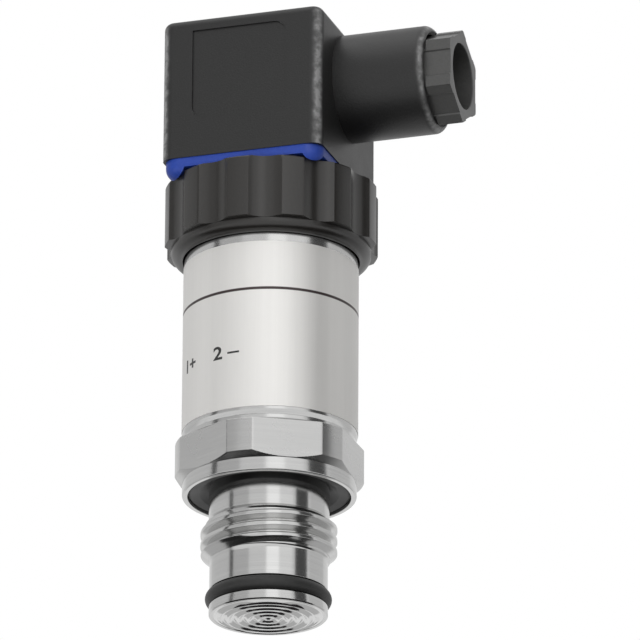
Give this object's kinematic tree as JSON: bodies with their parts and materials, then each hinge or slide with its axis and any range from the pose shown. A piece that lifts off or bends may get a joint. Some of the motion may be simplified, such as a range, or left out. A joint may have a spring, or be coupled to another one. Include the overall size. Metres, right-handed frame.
{
  "type": "pressure transmitter",
  "caption": "Flush-diaphragm pressure transmitter: threaded stainless process end, hexagon, slim round case with label, fluted union nut and right-angle cable plug.",
  "frame": {"origin": "centre of the sealing shoulder, on the case's axis", "axes": "+Z along the case towards the plug, +X along the cable gland, -Y the plug's panel face"},
  "size_m": [0.0477, 0.0332, 0.0948],
  "materials": {
    "stainless": "turned and brushed",
    "rubber_black": "matte",
    "label": "satin foil",
    "leads": "drawn",
    "chip": "moulded",
    "board": "lacquered",
    "carrier": "moulded",
    "trimmer": "moulded",
    "brass": "turned",
    "plug_black": "fine grained moulding",
    "nut_black": "satin moulding",
    "contact": "tin plated",
    "screw_steel": "zinc plated",
    "gasket_blue": "satin"
  },
  "bodies": {
    "root": {"process_connection": "stainless", "diaphragm": "stainless", "front_o_ring": "rubber_black", "thread_gasket": "rubber_black", "sensor_header": "stainless", "header_leads": "leads", "fill_plug": "leads", "pressure_chip": "chip", "case_tube": "stainless", "label_sleeve": "label", "sensor_board": "board", "board_carrier": "carrier", "main_board": "board", "main_board_parts": "chip", "top_board": "board", "flying_leads": "leads", "zero_trimmer": "trimmer", "span_trimmer": "trimmer"},
    "zero_rotor": {"zero_rotor": "brass"},
    "span_rotor": {"span_rotor": "brass"},
    "head": {"plug_base": "plug_black", "threaded_insert": "brass", "contact_pin_1": "contact", "contact_pin_2": "contact", "contact_pin_3": "contact", "earth_pin": "contact", "head_o_ring": "rubber_black", "plug_gasket": "gasket_blue"},
    "union_nut": {"union_nut": "nut_black"},
    "plug": {"plug_housing": "plug_black", "terminal_insert": "plug_black", "contact_sleeve_1": "contact", "contact_sleeve_2": "contact", "contact_sleeve_3": "contact", "earth_sleeve": "contact", "terminal_screws": "screw_steel", "cable_grommet": "rubber_black"},
    "screw_washer": {"screw_washer": "rubber_black"},
    "fixing_screw": {"fixing_screw": "screw_steel"},
    "thrust_washer": {"thrust_washer": "plug_black"},
    "gland_nut": {"gland_nut": "plug_black"}
  },
  "joints": [
    {"name": "head_lift", "type": "slide", "parent": "root", "child": "head", "axis": [0, 0, 1], "range_m": [0, 0.0045]},
    {"name": "union_nut_turn", "type": "hinge", "parent": "head", "child": "union_nut", "pos_m": [0, 0, 0.045], "axis": [0, 0, 1], "range_deg": [0, 1081]},
    {"name": "plug_pull", "type": "slide", "parent": "head", "child": "plug", "axis": [0, 0, 1], "range_m": [0, 0.012]},
    {"name": "fixing_screw_backout", "type": "slide", "parent": "plug", "child": "screw_washer", "axis": [0, 0, 1], "range_m": [0, 0.0025]},
    {"name": "fixing_screw_turn", "type": "hinge", "parent": "screw_washer", "child": "fixing_screw", "pos_m": [0, 0, 0.0725], "axis": [0, 0, 1], "range_deg": [0, 1801]},
    {"name": "gland_nut_backout", "type": "slide", "parent": "plug", "child": "thrust_washer", "axis": [1, 0, 0], "range_m": [0, 0.0045]},
    {"name": "gland_nut_turn", "type": "hinge", "parent": "thrust_washer", "child": "gland_nut", "pos_m": [0.027, 0, 0.066], "axis": [1, 0, 0], "range_deg": [0, 1081]},
    {"name": "zero_adjust", "type": "hinge", "parent": "root", "child": "zero_rotor", "pos_m": [-0.0056, 0, 0.041], "axis": [0, 0, 1], "range_deg": [-135, 135]},
    {"name": "span_adjust", "type": "hinge", "parent": "root", "child": "span_rotor", "pos_m": [0.0056, 0, 0.041], "axis": [0, 0, 1], "range_deg": [-135, 135]}
  ],
  "couplings": [
    {"joint": "union_nut_turn", "follows": "head_lift", "rad_per_m": 4188.8},
    {"joint": "fixing_screw_turn", "follows": "fixing_screw_backout", "rad_per_m": 12566},
    {"joint": "gland_nut_turn", "follows": "gland_nut_backout", "rad_per_m": 4188.8}
  ]
}
